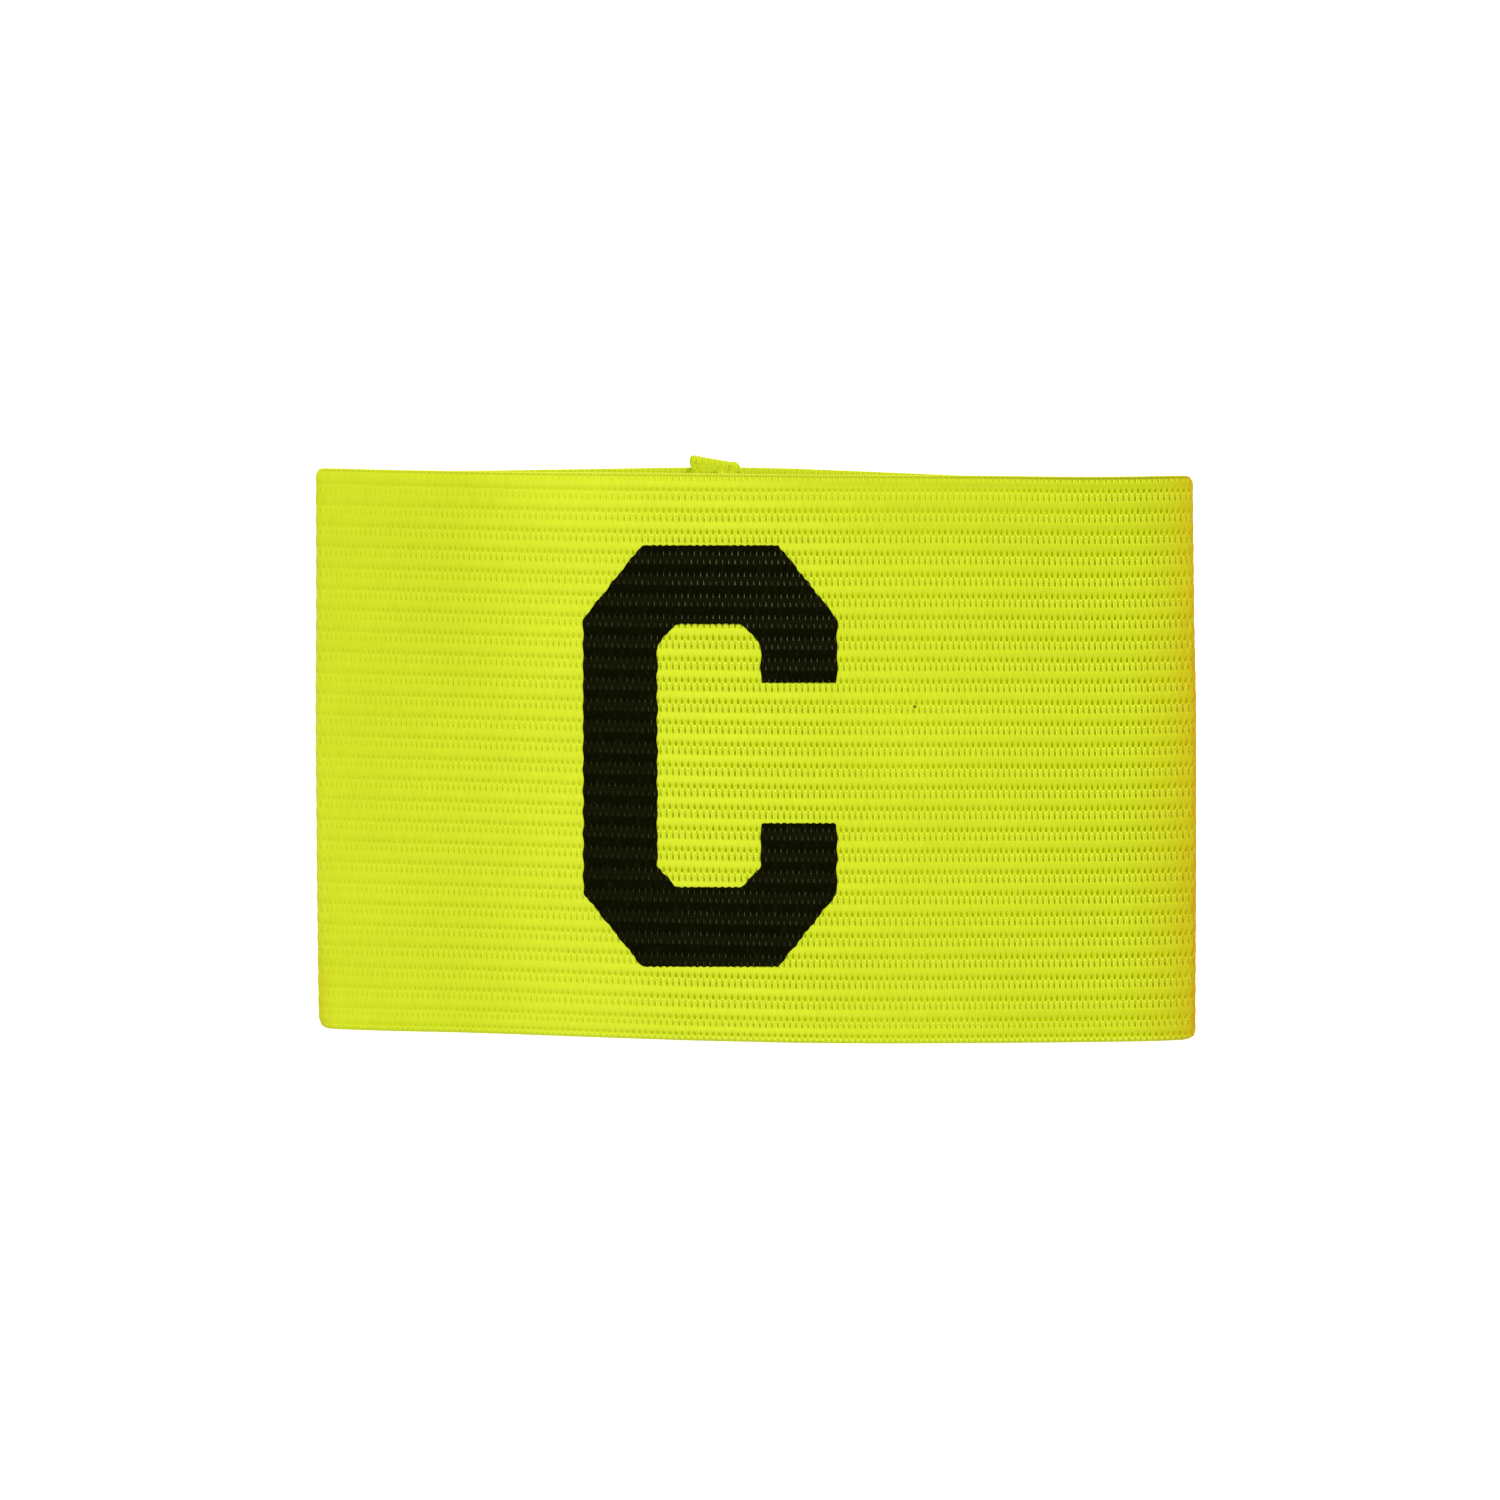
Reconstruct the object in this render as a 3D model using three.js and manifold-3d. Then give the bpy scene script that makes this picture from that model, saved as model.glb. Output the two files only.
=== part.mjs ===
import * as THREE from 'three';
import Module from 'manifold-3d';
import { mergeVertices } from 'three/addons/utils/BufferGeometryUtils.js';

// Captain armband: a sewn loop of ribbed elastic that lies flat on its back layer, with a block
// letter printed on its front layer. Millimetres: +X along the band, +Y across it, +Z up.

// Elastic webbing
const bandWidth = 80;
const ribThickness = 1.4; // from face to face through a wide rib
const grooveDepth = 0.26; // from a wide rib's crest down to the groove beside it, on each face
const edgeThickness = 0.9;
const ribPitch = 3; // one narrow and one wide rib
const topMargin = 2; // edge bead and the part rib above the first pair
const layerGap = 0.3; // between two layers that lie on each other

// Loop as it lies
const flatLength = 125.5; // from the left fold's edge to the right fold's edge
const crownClearance = 2.8; // between the seam's three layers and the front layer above them
const crownOffset = 4; // highest part of the front layer, right of the middle
const leftShoulder = 2.6; // how late the front layer falls to the left fold: 2 is a plain arch
const rightShoulder = 6; // and to the right fold, where it stays level for longer
const rightFoldOpening = 2.4; // between the layers inside the round right fold; the left one is pressed flat

// Seam inside the loop
const seamOffset = -2.2; // seam line, from the middle of the loop
const allowance = 7; // from the seam line to the two raw ends
const liftRadius = 4; // of the bend where the right half rises over the left half's turned end
const allowanceShift = 0.4; // of the raw ends across the band at the seam line
const allowanceSlant = 0.12; // and how much further they run out for each millimetre along

// Printed letter
const letterHeight = 59.5;
const letterWidth = 36;
const letterOffset = -6.4; // its middle, from the middle of the loop
const letterRise = 0.3; // and from the middle of the band's width
const spineStroke = 10.5;
const crossStroke = 11.1;
const terminalStroke = 10.7;
const upperTerminal = 19.3; // length of the right side above the mouth
const lowerTerminal = 20.1; // and below it
const outerCornerRun = 8.2;
const outerCornerRise = 10.2;
const innerCornerRun = 2.6;
const innerCornerRise = 3;
const filmThickness = 0.3;
const filmGap = 0.3; // between the film and the wide ribs' crests

// How the layers wander across the band, between the left fold (0) and the right fold (1): the
// shift is a share of the band's width, and width is the layer's own share of it.
const frontSway = [
	{ along: 0, shift: 0.0145, width: 0.996 },
	{ along: 0.06, shift: 0.013, width: 0.996 },
	{ along: 0.18, shift: 0.008, width: 0.998 },
	{ along: 0.34, shift: 0.002, width: 1 },
	{ along: 0.52, shift: -0.001, width: 1 },
	{ along: 0.7, shift: -0.003, width: 1 },
	{ along: 0.86, shift: -0.002, width: 0.999 },
	{ along: 0.95, shift: 0, width: 0.998 },
	{ along: 1, shift: 0.001, width: 0.998 },
];
const backSway = [
	{ along: 0, shift: 0.0145, width: 0.996 },
	{ along: 0.24, shift: 0.009, width: 0.998 },
	{ along: 0.5, shift: 0.0145, width: 1 },
	{ along: 0.62, shift: 0.012, width: 1 },
	{ along: 0.8, shift: 0.001, width: 0.999 },
	{ along: 1, shift: 0.001, width: 0.998 },
];

// One pair of ribs on the outer face, from one pair's start (0) to the next (1). Relief runs from
// the groove (0) to the wide rib's crest (1). The inner face has the same ribs, drawn coarser.
const outerRib = [
	{ along: 0, relief: 0 },
	{ along: 0.19, relief: 0.6 },
	{ along: 0.38, relief: 0 },
	{ along: 0.5, relief: 1 },
	{ along: 0.88, relief: 1 },
];
const innerRib = [
	{ along: 0.19, relief: 0 },
	{ along: 0.69, relief: 1 },
];
const outerTopMargin = [
	{ along: 0.14, relief: 0.8 },
	{ along: 0.28, relief: 0 },
	{ along: 0.48, relief: 1 },
	{ along: 0.84, relief: 1 },
];

const pressedFoldSteps = 3;
const roundFoldSteps = 4;
const liftSteps = 2;

const halfThickness = ribThickness / 2;
const layerRise = ribThickness + layerGap;
const frontHeight = 2 * layerRise + ribThickness + crownClearance + ribThickness;
const leftFoldEdge = - flatLength / 2;
const rightFoldEdge = flatLength / 2;
const leftFoldRadius = layerRise / 2;
const rightFoldRadius = ( rightFoldOpening + ribThickness ) / 2;

// Relief above the groove, as a distance from the middle of the elastic's thickness.
function reliefDistance( relief ) {

	return halfThickness - grooveDepth * ( 1 - relief );

}

// The strip's cross-section: across the band (from the top edge down the outer face and back up
// the inner face) and out from the middle of the thickness.
function ribbedSection() {

	const ribbedWidth = bandWidth - topMargin;
	const ribCount = Math.max( 1, Math.round( ribbedWidth / ribPitch ) );
	const pitch = ribbedWidth / ribCount;
	const topEdge = bandWidth / 2;
	const edge = edgeThickness / 2;
	const outer = [ { across: topEdge, out: edge } ];
	const inner = [ { across: topEdge, out: - edge } ];
	for ( const point of outerTopMargin ) {

		outer.push( { across: topEdge - point.along * topMargin, out: reliefDistance( point.relief ) } );

	}

	for ( let rib = 0; rib < ribCount; rib ++ ) {

		const start = topEdge - topMargin - rib * pitch;
		for ( const point of outerRib ) {

			outer.push( { across: start - point.along * pitch, out: reliefDistance( point.relief ) } );

		}

		for ( const point of innerRib ) {

			inner.push( { across: start - point.along * pitch, out: - reliefDistance( point.relief ) } );

		}

	}

	outer.push( { across: - topEdge, out: edge } );
	inner.push( { across: - topEdge, out: - edge } );
	return [ ...outer, ...inner.reverse() ];

}

// Reads a sway table at a place along the band.
function swayAt( table, x ) {

	const along = THREE.MathUtils.clamp( ( x - leftFoldEdge ) / flatLength, 0, 1 );
	const next = Math.max( table.findIndex( ( row ) => row.along >= along ), 1 );
	const before = table[ next - 1 ];
	const after = table[ next ];
	const share = ( along - before.along ) / ( after.along - before.along );
	return {
		shift: THREE.MathUtils.lerp( before.shift, after.shift, share ) * bandWidth,
		width: THREE.MathUtils.lerp( before.width, after.width, share ),
	};

}

// A station of the strip's path in the XZ plane. The heading is in radians from +X towards +Z, and
// the elastic's outer face is on its left.
function station( table, x, z, heading, extraShift = 0 ) {

	const sway = swayAt( table, x );
	return {
		x,
		z,
		outX: - Math.sin( heading ),
		outZ: Math.cos( heading ),
		shift: sway.shift + extraShift,
		width: sway.width,
	};

}

// Stations round a bend of the back layer. Angles are those of the radius, and a falling angle
// turns clockwise.
function bend( centre, radius, from, to, steps ) {

	const turn = Math.sign( to - from );
	const stations = [];
	for ( let step = 0; step <= steps; step ++ ) {

		const angle = THREE.MathUtils.lerp( from, to, step / steps );
		const x = centre.x + radius * Math.cos( angle );
		const z = centre.z + radius * Math.sin( angle );
		stations.push( station( backSway, x, z, angle + turn * Math.PI / 2 ) );

	}

	return stations;

}

// Height and slope of the middle of the front layer's thickness.
const crownHeight = frontHeight - halfThickness;
const leftEnd = {
	x: leftFoldEdge + halfThickness + leftFoldRadius,
	z: halfThickness + 2 * leftFoldRadius,
};
const rightEnd = {
	x: rightFoldEdge - halfThickness - rightFoldRadius,
	z: halfThickness + 2 * rightFoldRadius,
};

function frontAt( x ) {

	const end = x < crownOffset ? leftEnd : rightEnd;
	const power = x < crownOffset ? leftShoulder : rightShoulder;
	const reach = end.x - crownOffset;
	const share = Math.min( ( x - crownOffset ) / reach, 1 );
	const fall = crownHeight - end.z;
	return {
		z: crownHeight - fall * share ** power,
		slope: - fall * power * share ** ( power - 1 ) / reach,
	};

}

function frontStations() {

	const inside = frontSway.filter( ( row ) => row.along > 0 && row.along < 1 );
	return inside.map( ( row ) => {

		const x = THREE.MathUtils.lerp( leftEnd.x, rightEnd.x, row.along );
		const front = frontAt( x );
		return station( frontSway, x, front.z, Math.atan( front.slope ) );

	} );

}

// The whole strip, from the raw end of its left half round the loop to the raw end of its right half.
function stripStations() {

	const turnCentre = { x: seamOffset - leftFoldRadius - halfThickness, z: halfThickness + leftFoldRadius };
	const rawEnd = seamOffset - allowance;
	const endShift = allowanceShift + allowanceSlant * ( turnCentre.x - rawEnd );
	const turnedEnd = station( backSway, rawEnd, turnCentre.z + leftFoldRadius, 0, endShift );
	const seamTurn = bend( turnCentre, leftFoldRadius, Math.PI / 2, - Math.PI / 2, pressedFoldSteps );
	seamTurn.forEach( ( stop, index ) => {

		stop.shift += allowanceShift * ( 1 - index / pressedFoldSteps );

	} );

	const leftCentre = { x: leftEnd.x, z: halfThickness + leftFoldRadius };
	const leftSlope = Math.atan( frontAt( leftEnd.x ).slope );
	const leftFold = bend(
		leftCentre, leftFoldRadius, - Math.PI / 2, leftSlope - 3 * Math.PI / 2, pressedFoldSteps,
	);
	const rightCentre = { x: rightEnd.x, z: halfThickness + rightFoldRadius };
	const rightSlope = Math.atan( frontAt( rightEnd.x ).slope );
	const rightFold = bend(
		rightCentre, rightFoldRadius, Math.PI / 2 + rightSlope, - Math.PI / 2, roundFoldSteps,
	);

	const overRadius = leftFoldRadius + layerRise;
	const liftHeight = halfThickness + liftRadius - turnCentre.z;
	const liftAngle = Math.asin( liftHeight / ( overRadius + liftRadius ) );
	const liftCentre = {
		x: turnCentre.x + Math.cos( liftAngle ) * ( overRadius + liftRadius ),
		z: halfThickness + liftRadius,
	};
	const lift = bend( liftCentre, liftRadius, - Math.PI / 2, liftAngle - Math.PI, liftSteps );
	const over = bend( turnCentre, overRadius, liftAngle, Math.PI / 2, liftSteps );
	over.forEach( ( stop, index ) => {

		stop.shift += allowanceShift * index / liftSteps;

	} );
	const upperEnd = station( backSway, rawEnd, turnCentre.z + overRadius, Math.PI, endShift );

	const backStops = backSway.map( ( row ) => leftFoldEdge + row.along * flatLength ).reverse();
	const leftStops = backStops.filter( ( x ) => x > leftCentre.x && x < rawEnd );
	const rightStops = backStops.filter( ( x ) => x > liftCentre.x && x < rightCentre.x );
	const lying = ( x ) => station( backSway, x, halfThickness, Math.PI );
	return [
		turnedEnd,
		...seamTurn,
		...leftStops.map( lying ),
		...leftFold,
		...frontStations(),
		...rightFold,
		...rightStops.map( lying ),
		...lift,
		...over.slice( 1 ),
		upperEnd,
	];

}

// Skins a closed section along the stations and closes both ends.
function loft( section, stations ) {

	const count = section.length;
	const positions = [];
	for ( const stop of stations ) {

		for ( const point of section ) {

			positions.push(
				stop.x + stop.outX * point.out,
				point.across * stop.width + stop.shift,
				stop.z + stop.outZ * point.out,
			);

		}

	}

	const triangles = [];
	for ( let ring = 0; ring < stations.length - 1; ring ++ ) {

		for ( let side = 0; side < count; side ++ ) {

			const next = ( side + 1 ) % count;
			const a = ring * count + side;
			const b = ring * count + next;
			const c = b + count;
			const d = a + count;
			triangles.push( a, b, c, a, c, d );

		}

	}

	const outline = section.map( ( point ) => new THREE.Vector2( point.across, point.out ) );
	const lastRing = ( stations.length - 1 ) * count;
	for ( const [ a, b, c ] of THREE.ShapeUtils.triangulateShape( outline, [] ) ) {

		triangles.push( c, b, a, lastRing + a, lastRing + b, lastRing + c );

	}

	const geometry = new THREE.BufferGeometry();
	geometry.setAttribute( 'position', new THREE.Float32BufferAttribute( positions, 3 ) );
	geometry.setIndex( triangles );
	geometry.computeVertexNormals();
	return geometry;

}

// The block letter seen from above, drawn round its own middle.
function letterShape() {

	const right = letterWidth / 2;
	const left = - right;
	const top = letterHeight / 2;
	const bottom = - top;
	const innerLeft = left + spineStroke;
	const innerRight = right - terminalStroke;
	const innerTop = top - crossStroke;
	const innerBottom = bottom + crossStroke;
	return new THREE.Shape( [
		new THREE.Vector2( right, top - upperTerminal ),
		new THREE.Vector2( right, top - outerCornerRise ),
		new THREE.Vector2( right - outerCornerRun, top ),
		new THREE.Vector2( left + outerCornerRun, top ),
		new THREE.Vector2( left, top - outerCornerRise ),
		new THREE.Vector2( left, bottom + outerCornerRise ),
		new THREE.Vector2( left + outerCornerRun, bottom ),
		new THREE.Vector2( right - outerCornerRun, bottom ),
		new THREE.Vector2( right, bottom + outerCornerRise ),
		new THREE.Vector2( right, bottom + lowerTerminal ),
		new THREE.Vector2( innerRight, bottom + lowerTerminal ),
		new THREE.Vector2( innerRight, innerBottom + innerCornerRise ),
		new THREE.Vector2( innerRight - innerCornerRun, innerBottom ),
		new THREE.Vector2( innerLeft + innerCornerRun, innerBottom ),
		new THREE.Vector2( innerLeft, innerBottom + innerCornerRise ),
		new THREE.Vector2( innerLeft, innerTop - innerCornerRise ),
		new THREE.Vector2( innerLeft + innerCornerRun, innerTop ),
		new THREE.Vector2( innerRight - innerCornerRun, innerTop ),
		new THREE.Vector2( innerRight, innerTop - innerCornerRise ),
		new THREE.Vector2( innerRight, top - upperTerminal ),
	] );

}

const wasm = await Module();
wasm.setup();

function solidOf( geometry ) {

	const bare = geometry.clone();
	bare.deleteAttribute( 'normal' );
	bare.deleteAttribute( 'uv' );
	const merged = mergeVertices( bare );
	return new wasm.Manifold( new wasm.Mesh( {
		numProp: 3,
		vertProperties: new Float32Array( merged.attributes.position.array ),
		triVerts: new Uint32Array( merged.index.array ),
	} ) );

}

function geometryOf( solid ) {

	const mesh = solid.getMesh();
	const geometry = new THREE.BufferGeometry();
	geometry.setAttribute( 'position', new THREE.BufferAttribute( mesh.vertProperties, 3 ) );
	geometry.setIndex( new THREE.BufferAttribute( mesh.triVerts, 1 ) );
	geometry.computeVertexNormals();
	return geometry;

}

// The letter is the part of a thin skin over the front layer that lies inside the letter's outline.
function letterGeometry() {

	const half = bandWidth / 2;
	const low = halfThickness + filmGap;
	const high = low + filmThickness;
	const skin = loft( [
		{ across: half, out: high },
		{ across: - half, out: high },
		{ across: - half, out: low },
		{ across: half, out: low },
	], frontStations() );
	const prism = new THREE.ExtrudeGeometry( letterShape(), { depth: 2 * frontHeight, bevelEnabled: false } );
	prism.translate( letterOffset, swayAt( frontSway, letterOffset ).shift + letterRise, 0 );
	return geometryOf( solidOf( skin ).intersect( solidOf( prism ) ) );

}

const elasticMaterial = new THREE.MeshStandardMaterial( { color: 0xd9ee2c, roughness: 0.85, metalness: 0 } );
const printMaterial = new THREE.MeshStandardMaterial( { color: 0x15140f, roughness: 0.7, metalness: 0 } );

const elasticBand = new THREE.Mesh( loft( ribbedSection(), stripStations() ), elasticMaterial );
elasticBand.name = 'elastic_band';

const captainLetter = new THREE.Mesh( letterGeometry(), printMaterial );
captainLetter.name = 'captain_letter';

// The origin is on the table, below the middle of the whole armband.
const armband = new THREE.Group();
armband.add( elasticBand, captainLetter );
const reach = new THREE.Box3().setFromObject( armband );
const middle = reach.getCenter( new THREE.Vector3() );
armband.position.set( - middle.x, - middle.y, - reach.min.z );

export default armband;
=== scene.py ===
import math

import bpy
import numpy as np
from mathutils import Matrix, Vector
from mathutils.geometry import delaunay_2d_cdt


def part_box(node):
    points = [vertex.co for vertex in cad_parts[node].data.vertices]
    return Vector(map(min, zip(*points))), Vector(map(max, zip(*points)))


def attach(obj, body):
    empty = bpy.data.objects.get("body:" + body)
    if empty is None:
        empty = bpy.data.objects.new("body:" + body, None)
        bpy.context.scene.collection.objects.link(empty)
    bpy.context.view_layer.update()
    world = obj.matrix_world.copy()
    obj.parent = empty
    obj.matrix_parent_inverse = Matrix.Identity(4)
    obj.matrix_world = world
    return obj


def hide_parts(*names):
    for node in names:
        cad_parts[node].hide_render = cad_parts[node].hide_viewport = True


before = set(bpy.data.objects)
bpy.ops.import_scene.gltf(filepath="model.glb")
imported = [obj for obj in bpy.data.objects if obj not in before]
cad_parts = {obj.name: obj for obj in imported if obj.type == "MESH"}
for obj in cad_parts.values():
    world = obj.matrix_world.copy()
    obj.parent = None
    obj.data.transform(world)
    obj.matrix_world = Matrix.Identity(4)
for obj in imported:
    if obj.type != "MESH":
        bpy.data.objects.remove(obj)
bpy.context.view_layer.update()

MM = 0.001

# Elastic webbing and the loop as it lies, in the sizes of the solids
BAND_WIDTH = 80 * MM
RIB_THICKNESS = 1.4 * MM
GROOVE_DEPTH = 0.26 * MM
EDGE_THICKNESS = 0.9 * MM
LAYER_GAP = 0.3 * MM
FLAT_LENGTH = 125.5 * MM
CROWN_CLEARANCE = 2.8 * MM
CROWN_OFFSET = 4 * MM
LEFT_SHOULDER = 2.6
RIGHT_SHOULDER = 6
RIGHT_FOLD_OPENING = 2.4 * MM
SEAM_OFFSET = -2.2 * MM
ALLOWANCE = 6.85 * MM
LIFT_RADIUS = 4 * MM

# The turned-back ends at the seam: how far they lie shifted, curve and flare across the band
ALLOWANCE_SHIFT = 0.78 * MM
ALLOWANCE_CURVE = 0.033 / MM
ALLOWANCE_FLARE = 0.45 * MM
FLARE_REACH = 2.5 * MM
FLARE_DEPTH = 3 * MM
RAW_CORNER = (0.8 * MM, 0.6 * MM)
RAW_CORNER_REACH = 0.5 * MM
# Shares of the seam's two turns over which that shift stops and starts again
SEAM_TURN_FADE = (0.5, 0.8)
OVER_TURN_FADE = (0.44, 0.56)

# A low rise of the front's top edge: height, middle, reach along and across, and its start in slots
EDGE_RISE = 0.33 * MM
EDGE_RISE_X = -16.4 * MM
EDGE_RISE_REACH = (24 * MM, 2.3 * MM)
EDGE_RISE_START = 20

# Ripples of the front: depth, fade at its ends in slots, and how they grow towards its left
RIPPLE_DEPTH = 0.075 * MM
RIPPLE_FADE = 12
RIPPLE_END = 30 * MM
RIPPLE_REACH = 80 * MM
RIPPLE_LEAST = 0.25

# Where the layers wander across the band: place along, shift and width as shares of the band's width
FRONT_SWAY = np.array([
    (0.00, 0.0124, 1.005),
    (0.09, 0.0094, 1.002),
    (0.15, 0.0080, 0.9995),
    (0.23, 0.0050, 0.9985),
    (0.32, 0.0015, 1.000),
    (0.44, -0.0020, 1.004),
    (0.55, -0.0039, 1.008),
    (0.65, -0.0044, 1.009),
    (0.76, -0.0042, 1.008),
    (0.87, -0.0048, 1.005),
    (0.95, -0.0042, 1.007),
    (1.00, -0.0030, 1.011),
])
BACK_SWAY = np.array([
    (0.00, 0.0128, 1.004),
    (0.14, 0.0090, 1.000),
    (0.24, 0.0112, 1.000),
    (0.33, 0.0134, 1.000),
    (0.42, 0.0158, 1.000),
    (0.53, 0.0148, 1.000),
    (0.60, 0.0102, 1.000),
    (0.69, 0.0043, 1.000),
    (0.78, -0.0015, 1.000),
    (0.88, -0.0060, 1.001),
    (0.95, -0.0050, 1.004),
    (1.00, -0.0028, 1.008),
])
SWAY_SMOOTHING = 12 * MM

# Ribs: millimetres below the strip's top edge, and the count of pairs of ribs there
RIB_PLACES = np.array([
    (0.00, -0.82),
    (0.74, -0.69),
    (2.34, 0.00),
    (74.07, 24.00),
    (76.95, 25.00),
    (79.24, 26.00),
    (80.00, 26.20),
])
RIB_PITCH = 3 * MM
# One pair of ribs, a narrow and a wide one: place from the pair's start to the next, and relief
RIB_PROFILE = np.array([
    (0.000, 0.42),
    (0.080, 0.72),
    (0.300, 0.40),
    (0.420, 0.64),
    (0.540, 0.98),
    (0.720, 0.96),
    (0.880, 0.60),
    (0.965, 0.22),
    (1.000, 0.42),
])

# Slots of the knit: place along the front and the local pitch as a share of the plain pitch
SLOT_PITCH = 0.8 * MM
FRONT_PITCH = np.array([
    (0.00, 0.89),
    (0.06, 0.90),
    (0.19, 0.98),
    (0.33, 1.06),
    (0.46, 1.11),
    (0.60, 1.04),
    (0.77, 0.99),
    (0.88, 1.02),
    (0.95, 1.09),
    (1.00, 1.09),
])
SLOT_DEPTH = 0.09 * MM
# Dents of the slots across a pair of ribs: places, and shares of their depth there
UPPER_DENT = ((0, 0.05, 0.70, 0.88, 0.965, 1), (0.3, 0, 0, 0.5, 1, 0.3))
LOWER_DENT = ((0.06, 0.30, 0.42, 0.54), (0, 1, 0.4, 0))

# How clearly the knit shows along the front, fainter towards its left: ribs, and slots, which also set how
# strong the slots' and grooves' painted shade and the threads' painted highlight are
FRONT_KNIT = np.array([
    (0.00, 0.35, 0.14),
    (0.06, 0.50, 0.22),
    (0.15, 0.65, 0.36),
    (0.28, 0.80, 0.42),
    (0.34, 0.90, 0.50),
    (0.40, 1.00, 0.88),
    (0.45, 1.00, 1.00),
    (0.55, 0.95, 0.95),
    (0.66, 0.80, 0.72),
    (0.78, 0.90, 0.88),
    (0.93, 0.90, 1.15),
    (1.00, 0.45, 1.15),
])
FOLD_KNIT = {"left_fold": (0.15, 0.1), "right_fold": (0.2, 0.6)}
PLAIN_KNIT = (0.8, 0.8)

# How the two folds bend in plan: place across the band (top 0.5), left fold and right fold, outwards
FOLD_BOW = np.array([
    (-0.50, -0.02, 0.45),
    (-0.40, 0.12, 0.45),
    (-0.20, 0.26, 0.47),
    (0.00, 0.34, 0.40),
    (0.10, 0.32, 0.35),
    (0.25, 0.20, 0.02),
    (0.50, 0.14, -0.30),
])
BOW_REACH = 9 * MM
# Rounded corners of the flattened loop: along and across, at the left and the right fold
TOP_CORNERS = ((0.6 * MM, 0.9 * MM), (0.6 * MM, 0.9 * MM))
LOW_CORNERS = ((1.15 * MM, 2.3 * MM), (1.0 * MM, 1.4 * MM))
CORNER_REACH = 1.6 * MM

# Mesh rows in one pair of ribs on the inner face, and mesh columns in slots
INNER_ROWS = (0.0, 0.30, 0.54)
OUTER_STEPS = {"turn": 0.25, "front": 0.5, "back": 8.0, "seam": 1.0}
INNER_STEPS = {"turn": 0.5, "front": 6.0, "back": 6.0, "seam": 1.0}
PATH_STEP = 0.1 * MM

HALF = RIB_THICKNESS / 2
LAYER_RISE = RIB_THICKNESS + LAYER_GAP
FRONT_HEIGHT = 2 * LAYER_RISE + 2 * RIB_THICKNESS + CROWN_CLEARANCE
LEFT_EDGE = -FLAT_LENGTH / 2
LEFT_RADIUS = LAYER_RISE / 2
RIGHT_RADIUS = (RIGHT_FOLD_OPENING + RIB_THICKNESS) / 2
LEFT_CENTRE = (LEFT_EDGE + HALF + LEFT_RADIUS, HALF + LEFT_RADIUS)
RIGHT_CENTRE = (-LEFT_EDGE - HALF - RIGHT_RADIUS, HALF + RIGHT_RADIUS)
LAST_PAIR = int(RIB_PLACES[-1, 1])

# The solids' frame has its origin below the middle of the whole armband, off the loop's own middle.
LETTER_OFFSET = -6.4 * MM
LETTER_RISE = 0.315 * MM
letter_low, letter_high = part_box("captain_letter")
LOOP_X = (letter_low[0] + letter_high[0]) / 2 - LETTER_OFFSET
LOOP_Y = (letter_low[1] + letter_high[1]) / 2 - LETTER_RISE


# Path of the strip

def straight(x_from, x_to, z, heading):
    count = max(2, int(abs(x_to - x_from) / PATH_STEP))
    return np.linspace(x_from, x_to, count), np.full(count, z), np.full(count, heading)


def bend(centre, radius, start, end):
    count = max(24, int(abs(end - start) * radius / PATH_STEP))
    angle = np.linspace(start, end, count)
    turn = math.copysign(math.pi / 2, end - start)
    return centre[0] + radius * np.cos(angle), centre[1] + radius * np.sin(angle), angle + turn


def front_height(x):
    """Height and slope of the middle of the front layer's thickness."""
    crown = FRONT_HEIGHT - HALF
    right = x > CROWN_OFFSET
    end_x = np.where(right, RIGHT_CENTRE[0], LEFT_CENTRE[0])
    end_z = np.where(right, HALF + 2 * RIGHT_RADIUS, HALF + 2 * LEFT_RADIUS)
    power = np.where(right, RIGHT_SHOULDER, LEFT_SHOULDER)
    share = np.clip((x - CROWN_OFFSET) / (end_x - CROWN_OFFSET), 0, 1)
    z = crown - (crown - end_z) * share ** power
    slope = -(crown - end_z) * power * share ** (power - 1) / (end_x - CROWN_OFFSET)
    return z, slope


def smoothed(s, values, reach):
    even = np.arange(s[0] - reach, s[-1] + reach, PATH_STEP)
    window = np.hanning(int(reach / PATH_STEP))
    spread = np.convolve(np.interp(even, s, values), window / window.sum(), mode="same")
    return np.interp(s, even, spread)


def columns_of(table, along):
    return [np.interp(along, table[:, 0], table[:, k]) for k in range(1, table.shape[1])]


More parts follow.
